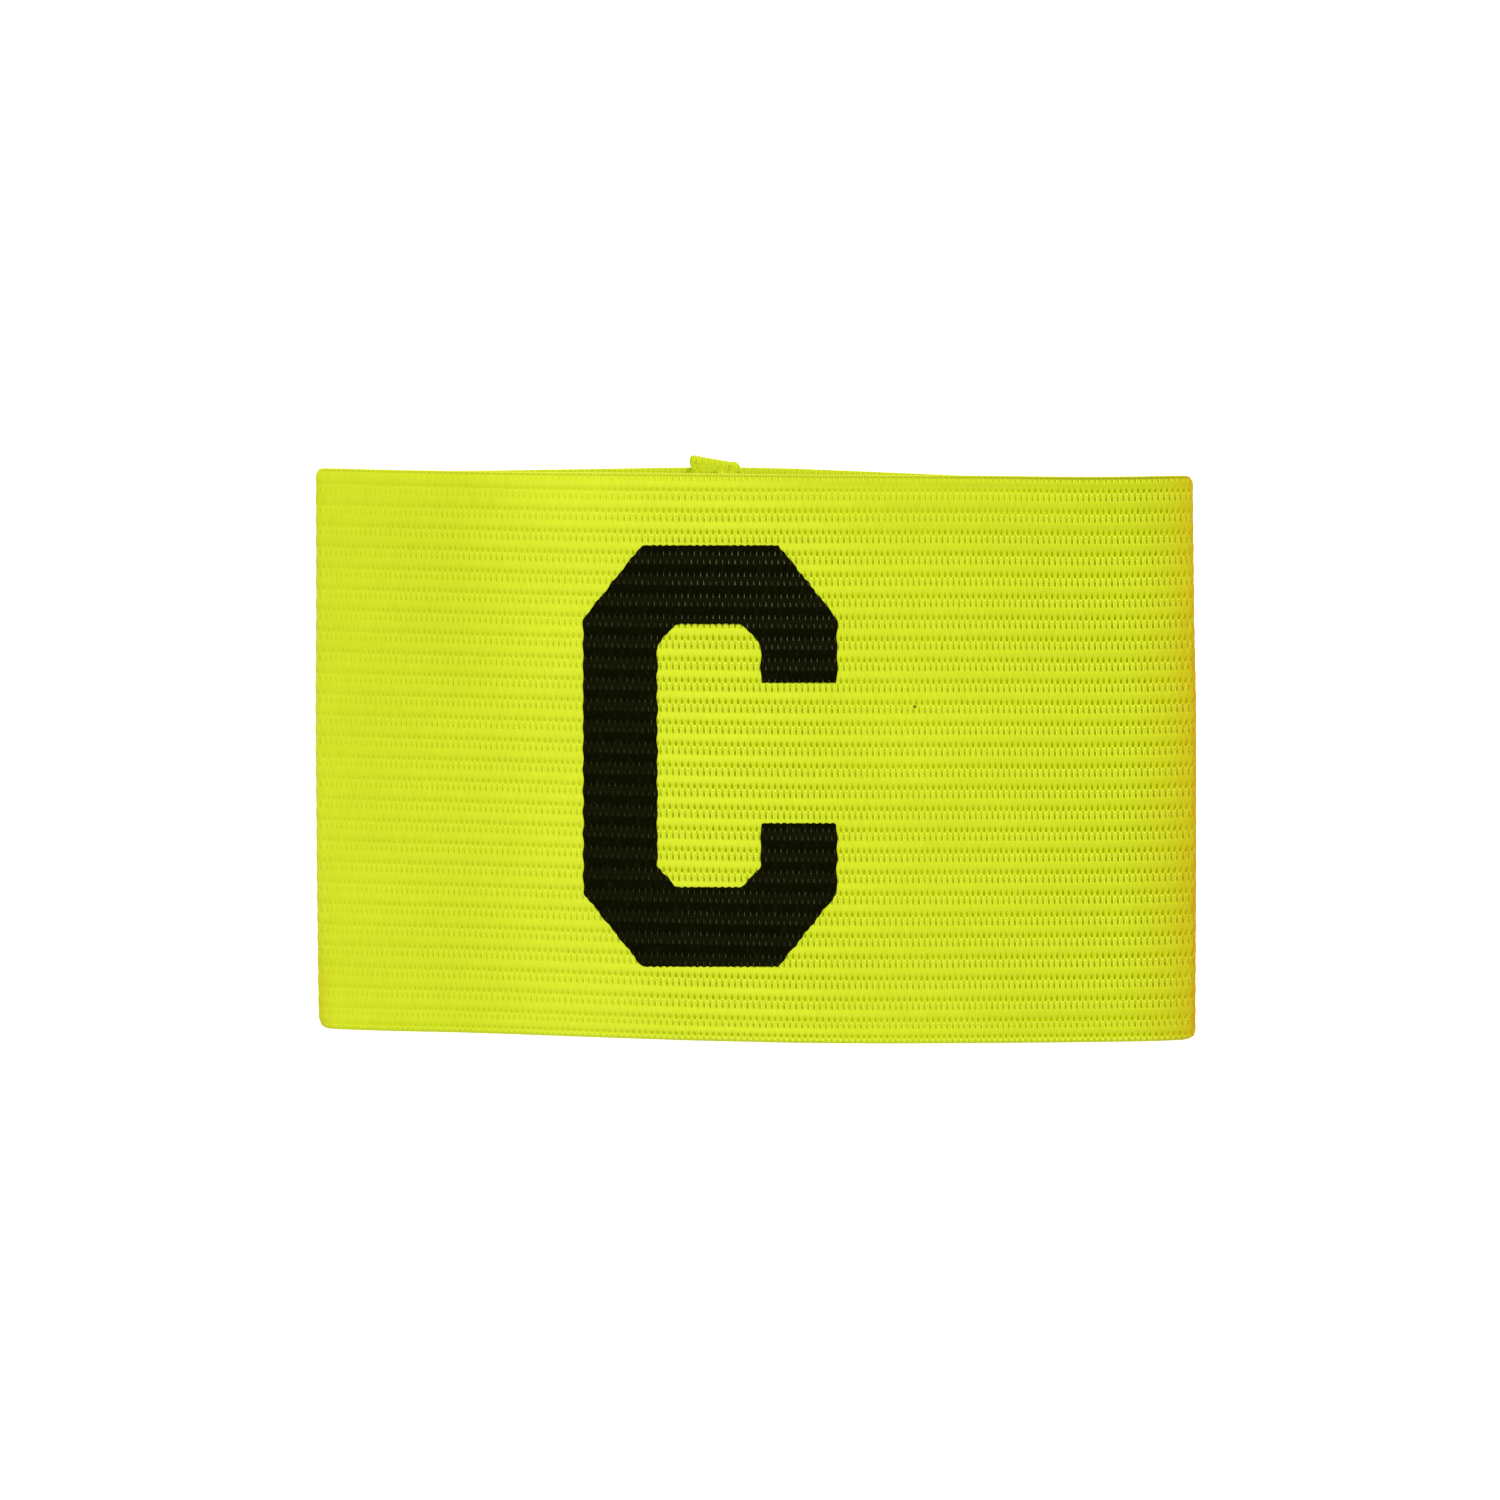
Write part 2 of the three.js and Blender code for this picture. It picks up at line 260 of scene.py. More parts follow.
class Path:
    """The strip's middle line, from the raw end of its left half round to the other raw end."""

    def __init__(self):
        turn = (SEAM_OFFSET - LEFT_RADIUS - HALF, HALF + LEFT_RADIUS)
        raw_end = SEAM_OFFSET - ALLOWANCE
        over_radius = LEFT_RADIUS + LAYER_RISE
        lift_angle = math.asin((HALF + LIFT_RADIUS - turn[1]) / (over_radius + LIFT_RADIUS))
        lift = (turn[0] + math.cos(lift_angle) * (over_radius + LIFT_RADIUS), HALF + LIFT_RADIUS)
        left_slope = math.atan(front_height(np.array(LEFT_CENTRE[0]))[1])
        right_slope = math.atan(front_height(np.array(RIGHT_CENTRE[0]))[1])
        front_from, front_to = LEFT_CENTRE[0] + PATH_STEP, RIGHT_CENTRE[0] - PATH_STEP
        front_x = np.linspace(front_from, front_to, int(FLAT_LENGTH / PATH_STEP))
        front_z, slope = front_height(front_x)
        half_turn = math.pi
        quarter = math.pi / 2
        legs = [
            ("back", straight(raw_end, turn[0], turn[1] + LEFT_RADIUS, 0.0), "turned_end"),
            ("seam", bend(turn, LEFT_RADIUS, quarter, -quarter), "seam_turn"),
            ("back", straight(turn[0], LEFT_CENTRE[0], HALF, -half_turn), "back"),
            ("turn", bend(LEFT_CENTRE, LEFT_RADIUS, -quarter, left_slope - 3 * quarter), "left_fold"),
            ("front", (front_x, front_z, np.arctan(slope)), "front"),
            ("turn", bend(RIGHT_CENTRE, RIGHT_RADIUS, quarter + right_slope, -quarter), "right_fold"),
            ("back", straight(RIGHT_CENTRE[0], lift[0], HALF, -half_turn), "back"),
            ("seam", bend(lift, LIFT_RADIUS, -quarter, lift_angle - half_turn), "back"),
            ("turn", bend(turn, over_radius, lift_angle, quarter), "over"),
            ("back", straight(turn[0], raw_end, turn[1] + over_radius, half_turn), "upper_end"),
        ]
        names = ("x", "z", "heading", "pitch", "shift", "width", "extra", "relief", "slots")
        found = {name: [] for name in names}
        self.zones = []
        count = 0
        for zone, leg, kind in legs:
            x, z, heading = [part[1 if count else 0:] for part in leg]
            along = (x - LEFT_EDGE) / FLAT_LENGTH
            shift, width = columns_of(FRONT_SWAY if kind == "front" else BACK_SWAY, along)
            pitch, relief, slots = 1 + 0 * x, 0 * x, 0 * x
            if kind == "front":
                pitch, = columns_of(FRONT_PITCH, along)
                relief, slots = columns_of(FRONT_KNIT, along)
            else:
                plain = FOLD_KNIT.get(kind, PLAIN_KNIT)
                relief, slots = relief + plain[0], slots + plain[1]
            share = np.linspace(0, 1, len(x))
            end_shift = ALLOWANCE_SHIFT + ALLOWANCE_CURVE * (turn[0] - x) ** 2
            extra = {
                "turned_end": end_shift,
                "seam_turn": ALLOWANCE_SHIFT * np.interp(share, SEAM_TURN_FADE, (1, 0)),
                "over": ALLOWANCE_SHIFT * np.interp(share, OVER_TURN_FADE, (0, 1)),
                "upper_end": end_shift,
            }.get(kind, 0 * x)
            values = (x, z, heading, pitch, shift * BAND_WIDTH, width, extra, relief, slots)
            for name, value in zip(names, values):
                found[name].append(value)
            self.zones.append((zone, max(count - 1, 0), count + len(x) - 1))
            count += len(x)
        line = {name: np.concatenate(parts) for name, parts in found.items()}
        step = np.hypot(np.diff(line["x"]), np.diff(line["z"]))
        self.s = np.concatenate([[0], np.cumsum(step)])
        self.u = np.concatenate([[0], np.cumsum(step / (SLOT_PITCH * line["pitch"][1:]))])
        line["out_x"], line["out_z"] = -np.sin(line["heading"]), np.cos(line["heading"])
        for name in ("shift", "width", "relief", "slots"):
            line[name] = smoothed(self.s, line[name], SWAY_SMOOTHING)
        line["shift"] += line["extra"]
        self.line = line
        self.front = slice(self.zones[4][1], self.zones[4][2] + 1)
        self.front_ends = self.u[self.front][[0, -1]]

    def at(self, u, *names):
        """Values of the path at slot counts u."""
        found = [np.interp(u, self.u, self.line[name]) for name in names]
        return found if len(found) > 1 else found[0]

    def front_u(self, x):
        return np.interp(x, self.line["x"][self.front], self.u[self.front])

    def columns(self, steps):
        """Slot counts of the mesh's columns, closer where the strip turns and on its front."""
        found = [self.u[0], self.u[-1]]
        for zone, first, last in self.zones:
            step = steps[zone]
            low, high = self.u[first] / step, self.u[last] / step
            found.extend(np.arange(math.ceil(low), math.floor(high) + 1) * step)
        return np.unique(np.round(found, 6))


# Surface of the strip: u counts slots along it, v counts pairs of ribs down from its first pair

def fract(v):
    return v - np.floor(v)


def across_of(v):
    return BAND_WIDTH / 2 - np.interp(v, RIB_PLACES[:, 1], RIB_PLACES[:, 0]) * MM


def ribs_at(across):
    return np.interp((BAND_WIDTH / 2 - across) / MM, RIB_PLACES[:, 0], RIB_PLACES[:, 1])


def slot_dent(u, v):
    f = fract(v)
    upper = np.interp(f, *UPPER_DENT)
    lower = np.interp(f, *LOWER_DENT)
    at_upper = (0.5 + 0.5 * np.cos(2 * np.pi * u)) ** 2
    at_lower = (0.5 - 0.5 * np.cos(2 * np.pi * u)) ** 2
    return upper * at_upper + lower * at_lower


def half_thickness(path, u, v, dent):
    """Distance of the ribbed face from the middle of the thickness, with a share of the slots' dents."""
    relief, slots = path.at(u, "relief", "slots")
    groove = 1 - np.interp(fract(v), RIB_PROFILE[:, 0], RIB_PROFILE[:, 1])
    return HALF - GROOVE_DEPTH * groove * relief - dent * SLOT_DEPTH * slots * slot_dent(u, v)


def ripple(path, u, v):
    """Soft unevenness of the front layer, three crossing waves that are strongest towards its left end."""
    x = path.at(u, "x")
    low, high = path.front_ends
    edge = np.clip(np.minimum(u - low, high - u) / RIPPLE_FADE, 0, 1)
    left = np.clip((RIPPLE_END - x) / RIPPLE_REACH, RIPPLE_LEAST, 1)
    a, b = x / MM, v * RIB_PITCH / MM
    wave = np.sin(a / 5.1 + 0.9 * np.sin(b / 9.0) + 0.6) * np.sin(b / 7.3 + a / 31.0)
    wave += 0.8 * np.sin(a / 8.7 - b / 12.0 + 2.1) + 0.5 * np.sin(a / 3.4 + b / 5.2 + 1.0)
    return RIPPLE_DEPTH * edge * left * wave


def corner(depth, size):
    """How far an elliptic corner pulls in at a depth from its edge."""
    share = np.clip(1 - depth / size[1], 0, 1)
    return size[0] * (1 - np.sqrt(1 - share ** 2))


def surface(path, u, v, half):
    """Points of the strip at a signed distance half from the middle of its thickness."""
    x, z, out_x, out_z, shift, width = path.at(u, "x", "z", "out_x", "out_z", "shift", "width")
    across = across_of(v)
    left_bow, right_bow = columns_of(FOLD_BOW, across / BAND_WIDTH)
    from_left, from_right = x - LEFT_EDGE, -LEFT_EDGE - x
    move = right_bow * MM * np.exp(-from_right / BOW_REACH) - left_bow * MM * np.exp(-from_left / BOW_REACH)
    below_top, above_low = BAND_WIDTH / 2 - across, BAND_WIDTH / 2 + across
    for k, (sign, away) in enumerate(((1, from_left), (-1, from_right))):
        pulled = corner(below_top, TOP_CORNERS[k]) + corner(above_low, LOW_CORNERS[k])
        move = move + sign * pulled * np.exp(-((away / CORNER_REACH) ** 2))
    s = np.interp(u, path.u, path.s)
    to_raw_end = np.minimum(s, path.s[-1] - s)
    near_top = np.clip(1 - below_top / FLARE_DEPTH, 0, 1)
    move = move - ALLOWANCE_FLARE * near_top * np.exp(-to_raw_end / FLARE_REACH)
    move = move + corner(below_top, RAW_CORNER) * np.exp(-((to_raw_end / RAW_CORNER_REACH) ** 2))
    front_from, front_to = path.front_ends
    on_front = np.interp(u, (front_from, front_from + EDGE_RISE_START), (0, 1)) * (u < front_to)
    rise = EDGE_RISE * on_front * np.exp(-(((x - EDGE_RISE_X) / EDGE_RISE_REACH[0]) ** 2))
    rise = rise * np.clip(1 - below_top / EDGE_RISE_REACH[1], 0, 1)
    out = half + ripple(path, u, v)
    y = LOOP_Y + across * width + shift + rise
    return np.stack([LOOP_X + x + move + out_x * out, y, z + out_z * out], -1)


path = Path()


# Mesh helpers

def zipped(a, a_at, b, b_at, flip):
    """Triangles between two rows of vertices that share their ends but not their spacing."""
    i = j = 0
    faces = []
    while i < len(a) - 1 or j < len(b) - 1:
        if j == len(b) - 1 or (i < len(a) - 1 and a_at[i + 1] <= b_at[j + 1] + 1e-9):
            face = (a[i], a[i + 1], b[j])
            i += 1
        else:
            face = (a[i], b[j + 1], b[j])
            j += 1
        faces.append(face[::-1] if flip else face)
    return faces


def grid_faces(first, rows, columns, flip):
    at = first + np.arange(rows * columns).reshape(rows, columns)
    quads = np.stack([at[:-1, :-1], at[1:, :-1], at[1:, 1:], at[:-1, 1:]], -1).reshape(-1, 4)
    return (quads[:, ::-1] if flip else quads).tolist()


def tube(points, radius, sides, first):
    """Vertices and faces of a closed round thread along points, its faces counted from first."""
    points = np.asarray(points, float)
    along = np.gradient(points, axis=0)
    along /= np.linalg.norm(along, axis=1)[:, None]
    least = np.eye(3)[np.argmin(np.abs(points[-1] - points[0]))]
    a = np.cross(along, least)
    a /= np.linalg.norm(a, axis=1)[:, None]
    b = np.cross(along, a)
    angle = np.arange(sides) * 2 * np.pi / sides
    ring = np.cos(angle)[:, None, None] * a + np.sin(angle)[:, None, None] * b
    vertices = (points + radius * ring).transpose(1, 0, 2).reshape(-1, 3)
    at = first + np.arange(len(points) * sides).reshape(-1, sides)
    turned = np.roll(at, -1, 1)
    quads = np.stack([at[:-1], turned[:-1], turned[1:], at[1:]], -1).reshape(-1, 4).tolist()
    return vertices, quads + [at[0][::-1].tolist(), at[-1].tolist()]


def add_mesh(name, points, faces, material, uv=None, attributes=None):
    mesh = bpy.data.meshes.new(name)
    mesh.from_pydata([tuple(map(float, p)) for p in points], [], faces)
    mesh.shade_smooth()
    mesh.materials.append(material)
    if uv is not None:
        vertex = np.empty(len(mesh.loops), np.int32)
        mesh.loops.foreach_get("vertex_index", vertex)
        layer = mesh.uv_layers.new(name="strip")
        layer.uv.foreach_set("vector", np.asarray(uv, np.float32)[vertex].ravel())
    for key, values in (attributes or {}).items():
        mesh.attributes.new(key, "FLOAT", "POINT").data.foreach_set("value", np.asarray(values, np.float32))
    piece = bpy.data.objects.new(name, mesh)
    bpy.context.scene.collection.objects.link(piece)
    return piece


# Node helpers

class Nodes:
    """Short names for the shader nodes that the materials use."""

    def __init__(self, name):
        self.material = bpy.data.materials.new(name)
        self.material.use_nodes = True
        self.tree = self.material.node_tree
        self.shader = self.tree.nodes["Principled BSDF"]

    def feed(self, socket, value):
        if isinstance(value, bpy.types.NodeSocket):
            self.tree.links.new(value, socket)
        else:
            socket.default_value = value

    def math(self, operation, a, b=0.0):
        node = self.tree.nodes.new("ShaderNodeMath")
        node.operation = operation
        self.feed(node.inputs[0], a)
        self.feed(node.inputs[1], b)
        return node.outputs[0]

    def add(self, a, b):
        return self.math("ADD", a, b)

    def times(self, a, *more):
        for b in more:
            a = self.math("MULTIPLY", a, b)
        return a

    def larger(self, a, b):
        return self.math("MAXIMUM", a, b)

    def ramp(self, value, low, high, to_low=0.0, to_high=1.0):
        """A soft step of value from low to high."""
        node = self.tree.nodes.new("ShaderNodeMapRange")
        node.interpolation_type = "SMOOTHSTEP"
        for socket, given in zip(node.inputs[:5], (value, low, high, to_low, to_high)):
            self.feed(socket, given)
        return node.outputs[0]

    def within(self, value, start, full, fade, end):
        """1 between full and fade, falling softly to 0 at start and end."""
        return self.times(self.ramp(value, start, full), self.ramp(value, fade, end, 1.0, 0.0))

    def mix(self, factor, a, b):
        node = self.tree.nodes.new("ShaderNodeMix")
        node.data_type = "RGBA"
        self.feed(node.inputs[0], factor)
        self.feed(node.inputs[6], a)
        self.feed(node.inputs[7], b)
        return node.outputs[2]

    def attribute(self, name):
        node = self.tree.nodes.new("ShaderNodeAttribute")
        node.attribute_name = name
        return node.outputs["Fac"]

    def strip(self):
        """Slots along and pairs of ribs across, from the strip's own map."""
        node = self.tree.nodes.new("ShaderNodeUVMap")
        node.uv_map = "strip"
        parts = self.tree.nodes.new("ShaderNodeSeparateXYZ")
        self.tree.links.new(node.outputs[0], parts.inputs[0])
        return parts.outputs[0], parts.outputs[1]

    def vector(self, x, y):
        join = self.tree.nodes.new("ShaderNodeCombineXYZ")
        self.feed(join.inputs[0], x)
        self.feed(join.inputs[1], y)
        return join.outputs[0]

    def noise(self, vector, detail=2.0, roughness=0.5, scale=1.0):
        node = self.tree.nodes.new("ShaderNodeTexNoise")
        self.tree.links.new(vector, node.inputs["Vector"])
        node.inputs["Scale"].default_value = scale
        node.inputs["Detail"].default_value = detail
        node.inputs["Roughness"].default_value = roughness
        return node.outputs["Fac"]

    def strip_noise(self, u, v, scale_u, scale_v, detail=2.0, roughness=0.5):
        return self.noise(self.vector(self.times(u, scale_u), self.times(v, scale_v)), detail, roughness)

    def random(self, u, v):
        """A number for each whole u and v."""
        node = self.tree.nodes.new("ShaderNodeTexWhiteNoise")
        node.noise_dimensions = "2D"
        self.tree.links.new(self.vector(self.math("FLOOR", u), self.math("FLOOR", v)), node.inputs["Vector"])
        return node.outputs["Value"]

    def bump(self, height, distance):
        node = self.tree.nodes.new("ShaderNodeBump")
        node.inputs["Distance"].default_value = distance
        self.feed(node.inputs["Height"], height)
        self.feed(self.shader.inputs["Normal"], node.outputs[0])

    def beside(self, u, middle):
        """Distance, in slots, to the nearest place that lies a share middle past a whole slot."""
        moved = self.math("FRACT", self.add(u, 0.5 - middle))
        return self.math("ABSOLUTE", self.add(moved, -0.5))


# Parts of the knit across a pair of ribs: where each starts, is full, fades and ends
UPPER_ROW = (0.62, 0.93, 0.975, 1.0)
LOWER_ROW = (0.09, 0.25, 0.35, 0.44)
LINK_ROW = (0.0, 0.03, 0.14, 0.2)
DASH_ROW = (0.015, 0.05, 0.1, 0.16)
LEG_ROW = (0.12, 0.22, 0.37, 0.46)
# where the wide ribs take painted shade
WIDE_ROW = (0.42, 0.5, 0.76, 0.95)
# where the grooves between the ribs take painted shade
GROOVE_SHADE_ROWS = ((0.64, 0.88, 0.99, 1.0), (0.08, 0.2, 0.38, 0.48))
# Half widths of the slots, counted in slots: two places across the pair, and the widths there
UPPER_SIZE = (0.70, 0.97, 0.07, 0.22)
LOWER_SIZE = (0.12, 0.32, 0.08, 0.19)
# Soft edges of the parts, full and gone: the slots' in half widths, the others' in slots
SLOT_EDGE = (0.3, 1.0)
LINK_EDGE = (0.04, 0.14)
DASH_EDGE = (0.16, 0.36)
RIGHT_LEG_EDGE = (0.06, 0.2)
LEFT_LEG_EDGE = (0.04, 0.16)
# Places across the pair that slots and legs lean about, how far the lower ones lean, and the legs' places
UPPER_PIVOT = 0.95
LOWER_PIVOT = 0.31
LOWER_LEAN = -0.25
LEG_PIVOT = 0.3
LEG_LEAN = 0.6
RIGHT_LEG_PLACE = 0.78
LEFT_LEG_PLACE = 0.24
LEFT_LEG_SHARE = 0.45


def knit(nodes, u, v, lean, narrow=1.0):
    """Shares, 0 to 1, of the parts of the knit: the two rows of slots, the dashes and the thread legs."""
    f = nodes.math("FRACT", v)
    upper_u = nodes.add(u, nodes.times(nodes.add(f, -UPPER_PIVOT), lean))
    lower_u = nodes.add(u, nodes.times(nodes.add(f, -LOWER_PIVOT), LOWER_LEAN))
    by_upper = nodes.beside(upper_u, 0.0)
    by_lower = nodes.beside(lower_u, 0.5)
    upper_half = nodes.times(nodes.ramp(f, *UPPER_SIZE), narrow)
    lower_half = nodes.times(nodes.ramp(f, *LOWER_SIZE), narrow)
    upper_slot = nodes.ramp(nodes.math("DIVIDE", by_upper, upper_half), *SLOT_EDGE, 1.0, 0.0)
    lower_slot = nodes.ramp(nodes.math("DIVIDE", by_lower, lower_half), *SLOT_EDGE, 1.0, 0.0)
    upper = nodes.times(nodes.within(f, *UPPER_ROW), upper_slot)
    lower = nodes.times(nodes.within(f, *LOWER_ROW), lower_slot)
    link = nodes.times(nodes.within(f, *LINK_ROW), nodes.ramp(by_lower, *LINK_EDGE, 1.0, 0.0))
    by_dash = nodes.beside(u, 0.0)
    dash = nodes.times(nodes.within(f, *DASH_ROW), nodes.ramp(by_dash, *DASH_EDGE, 1.0, 0.0))
    leg_u = nodes.add(u, nodes.times(nodes.add(f, -LEG_PIVOT), LEG_LEAN))
    by_right = nodes.beside(leg_u, RIGHT_LEG_PLACE)
    by_left = nodes.beside(leg_u, LEFT_LEG_PLACE)
    right_leg = nodes.ramp(by_right, *RIGHT_LEG_EDGE, 1.0, 0.0)
    left_leg = nodes.ramp(by_left, *LEFT_LEG_EDGE, LEFT_LEG_SHARE, 0.0)
    legs = nodes.times(nodes.within(f, *LEG_ROW), nodes.larger(right_leg, left_leg))
    return upper, lower, link, dash, legs, f


# Materials

YELLOW = (0.615, 0.72, 0.0225, 1)
# DARK_YELLOW darkens in random patches and threads, and as painted shade over parts of the front, its wide
# ribs and the back layer's rim
DARK_YELLOW = (0.25, 0.305, 0.0, 1)
# green painted as shade inside the knit's slots
SLOT_SHADE_GREEN = (0.26, 0.33, 0.0, 1)
# a darker, less blue yellow painted as shade in the grooves between the ribs
GROOVE_SHADE_YELLOW = (0.56, 0.66, 0.002, 1)
# BRIGHT_YELLOW is a painted highlight on the raised threads and the front's brightest stretch, and the sewing
# thread's lighter plies
BRIGHT_YELLOW = (0.76, 0.87, 0.05, 1)
SELVEDGE_TAN = (0.62, 0.62, 0.10, 1)
# brown painted shade at the right fold, also used for the lower left corner's faint tint
FOLD_SHADE_BROWN = (0.52, 0.30, 0.004, 1)
SELVEDGE_DOTS = (0.24, 0.25, 0.012, 1)
SPECK_BROWN = (0.12, 0.045, 0.006, 1)
TAB_BROWN = (0.36, 0.27, 0.012, 1)
PRINT_BLACK = (0.0036, 0.0042, 0.0007, 1)
PRINT_GREY = (0.0120, 0.0125, 0.0030, 1)
PINHOLE = (0.225, 0.25, 0.12, 1)

# A dark speck on the front, its soft edge in millimetres, and the faint crease beside the left fold
SPECK_X = 22.6 * MM
SPECK_Y = 7.2 * MM
SPECK_EDGE = (0.10, 0.32)
CREASE_INSET = 0.8 * MM
CREASE_WIDTH = 0.25 * MM
# Where the painted shade of the front's right side and its wide ribs starts, and where it is darkest
RIGHT_SHADE = (8 * MM, 58 * MM)
# Stretches over which the front's top left stops and its top right starts to be a little darker, as painted
# shade
LEFT_SHADE = (-45 * MM, -30 * MM)
TOP_SHADE = (6 * MM, 22 * MM)
MARGIN_SHADE = (-14 * MM, 12 * MM)
# The front's painted highlight on its brightest stretch: where it starts, is full, fades and ends
CROWN_LIGHT = (-42 * MM, -22 * MM, -4 * MM, 18 * MM)
# How far the upper slots lean, on plain webbing and where the right fold takes its brown painted shade
SLOT_LEAN = (-0.12, 0.65)

# How much of its colour each part takes; the top, margin, wide rib, groove, rim and slot shares are painted
# shade, the crown and leg shares painted highlights
BROAD_SHARE = 0.07
THREAD_SHARE = 0.14
TOP_LEFT_SHADE_SHARE = 0.08
TOP_RIGHT_SHADE_SHARE = 0.11
MARGIN_SHADE_SHARE = 0.24
WIDE_RIB_SHADE_SHARE = 0.19
CROWN_HIGHLIGHT_SHARE = 0.2
GROOVE_SHADE_SHARE = 0.55
LEG_HIGHLIGHT_SHARE = 0.75
SLOT_SHADE_SHARE = 0.74
RIM_SHADE_SHARES = (0.15, 0.08)
SPECKS_SHARE = 0.55
SELVEDGE_SHARE = 0.55
CREASE_SHARE = 0.3


def front_counts(places):
    return [float(path.front_u(x)) for x in places]


def elastic_zones(nodes, u):
    """Shares of the front layer, of the seam's tab and of the front's right side, which takes painted shade.
    """
    low, high = [float(end) for end in path.front_ends]
    last = float(path.u[-1])
    front = nodes.within(u, low - 8, low - 3, high + 7, high + 14)
    off_tab = nodes.within(u, 8.0, 10.0, last - 13, last - 11)
    return {
        "front": front,
        "tab": nodes.math("SUBTRACT", 1.0, off_tab),
        "right": nodes.times(nodes.ramp(u, *front_counts(RIGHT_SHADE)), front),
    }


def open_slots(nodes, u, v, parts, zones):
    """How much of a slot shows at each place, which is less near the band's edges."""
    upper, lower, link = parts
    uneven = nodes.ramp(nodes.strip_noise(u, v, 0.7, 2.3), 0.25, 0.7, 0.7, 1.0)
    # slots near the top show less, except on the front's right, where their painted shade is strongest
    near_top = nodes.larger(nodes.ramp(v, -0.9, 3.0, 0.35, 1.0), nodes.times(zones["right"], 0.9))
    first_row = nodes.ramp(v, -0.55, -0.35, 0.6, 1.0)
    near_low = nodes.ramp(v, 22.0, 26.0, 1.0, 0.7)
    slots = nodes.larger(nodes.larger(upper, lower), nodes.times(link, 0.5))
    return nodes.times(slots, uneven, nodes.times(near_top, first_row, near_low))


def shaded_yellow(nodes, u, v, f, threads, zones):
    """The webbing's yellow, with broad and fine random tone, painted shade over parts of the front and its
    wide ribs, and a painted highlight on its brightest stretch.
    """
    broad = nodes.strip_noise(u, v, 0.05, 0.25)
    colour = nodes.mix(nodes.ramp(broad, 0.3, 0.7, 0.0, BROAD_SHARE), YELLOW, DARK_YELLOW)
    colour = nodes.mix(nodes.ramp(threads, 0.3, 0.75, 0.0, THREAD_SHARE), colour, DARK_YELLOW)
    # painted shade over the front's top left, top right and top margin
    top_left = nodes.ramp(u, *front_counts(LEFT_SHADE), 1.0, 0.0)
    top_left = nodes.times(top_left, nodes.ramp(v, 0.0, 24.0, TOP_LEFT_SHADE_SHARE, 0.0))
    top_right = nodes.ramp(u, *front_counts(TOP_SHADE))
    top_right = nodes.times(top_right, nodes.within(v, -0.2, 0.4, 1.0, 5.0), TOP_RIGHT_SHADE_SHARE)
    margin = nodes.ramp(u, *front_counts(MARGIN_SHADE))
    margin = nodes.times(margin, nodes.ramp(v, -0.5, -0.2, MARGIN_SHADE_SHARE, 0.0))
    top_shade = nodes.add(nodes.add(top_left, top_right), margin)
    colour = nodes.mix(nodes.times(top_shade, zones["front"]), colour, DARK_YELLOW)
    # painted shade on the wide ribs, growing towards the front's right
    wide = nodes.times(nodes.within(f, *WIDE_ROW), zones["right"], WIDE_RIB_SHADE_SHARE)
    colour = nodes.mix(wide, colour, DARK_YELLOW)
    # painted highlight along the front's brightest stretch
    crown = nodes.within(u, *front_counts(CROWN_LIGHT))
    return nodes.mix(nodes.times(crown, CROWN_HIGHLIGHT_SHARE), colour, BRIGHT_YELLOW)


def edge_marks(nodes, u, v, colour, zones):
    """Dots and lighter thread along the band's edges, painted shade on the back layer's top rim, and the
    tab's specks.
    """
    by_dots = nodes.ramp(nodes.beside(u, 0.0), 0.22, 0.46, 1.0, 0.25)
    top_row = nodes.within(v, -0.805, -0.785, -0.755, -0.725)
    top_dots = nodes.times(top_row, by_dots, zones["front"])
    # the edge dots grow darker towards the front's right, part of its painted shade
    dots_share = nodes.add(nodes.times(zones["right"], 0.45), 0.4)
    colour = nodes.mix(nodes.times(top_dots, dots_share), colour, SELVEDGE_DOTS)
    off_front = nodes.math("SUBTRACT", 1.0, zones["front"])
    # painted shade along the top rim of the back layer and the tab, which lie below the front layer's edge
    back_rim_shade = nodes.times(nodes.ramp(v, -0.45, -0.2, 1.0, 0.0), off_front)
    rim_shade_share = nodes.ramp(zones["tab"], 0.0, 1.0, *RIM_SHADE_SHARES)
    colour = nodes.mix(nodes.times(back_rim_shade, rim_shade_share), colour, DARK_YELLOW)
    patches = nodes.strip_noise(u, v, 0.9, 3.2, 2.0, 0.6)
    specks = nodes.times(nodes.ramp(patches, 0.55, 0.68, 0.0, SPECKS_SHARE), zones["tab"])
    colour = nodes.mix(specks, colour, TAB_BROWN)
    selvedge = nodes.larger(nodes.ramp(v, -0.812, -0.80, 1.0, 0.0), nodes.ramp(v, 26.15, 26.18))
    return nodes.mix(nodes.times(selvedge, SELVEDGE_SHARE), colour, SELVEDGE_TAN)


def fold_shade_and_marks(nodes, u, v, colour, tint):
    """The folds' brown tint in streaks, which at the right fold is painted shade, the crease beside the left
    fold and the dark speck.
    """
    # the right fold's brown painted shade, in streaks
    streak = nodes.strip_noise(nodes.add(u, nodes.times(v, 1.6)), v, 2.2, 0.9, 2.0, 0.6)
    colour = nodes.mix(nodes.times(tint, nodes.ramp(streak, 0.25, 0.7, 0.5, 1.0)), colour, FOLD_SHADE_BROWN)
    colour = nodes.mix(nodes.times(nodes.attribute("crease"), CREASE_SHARE), colour, SELVEDGE_TAN)
    speck_u = float(path.front_u(SPECK_X))
    speck_v = float(ribs_at(SPECK_Y - path.at(speck_u, "shift")))
    along = nodes.times(nodes.add(u, -speck_u), SLOT_PITCH / MM)
    across = nodes.times(nodes.add(v, -speck_v), RIB_PITCH / MM)
    away = nodes.math("SQRT", nodes.add(nodes.times(along, along), nodes.times(across, across)))
    return nodes.mix(nodes.ramp(away, *SPECK_EDGE, 0.95, 0.0), colour, SPECK_BROWN)


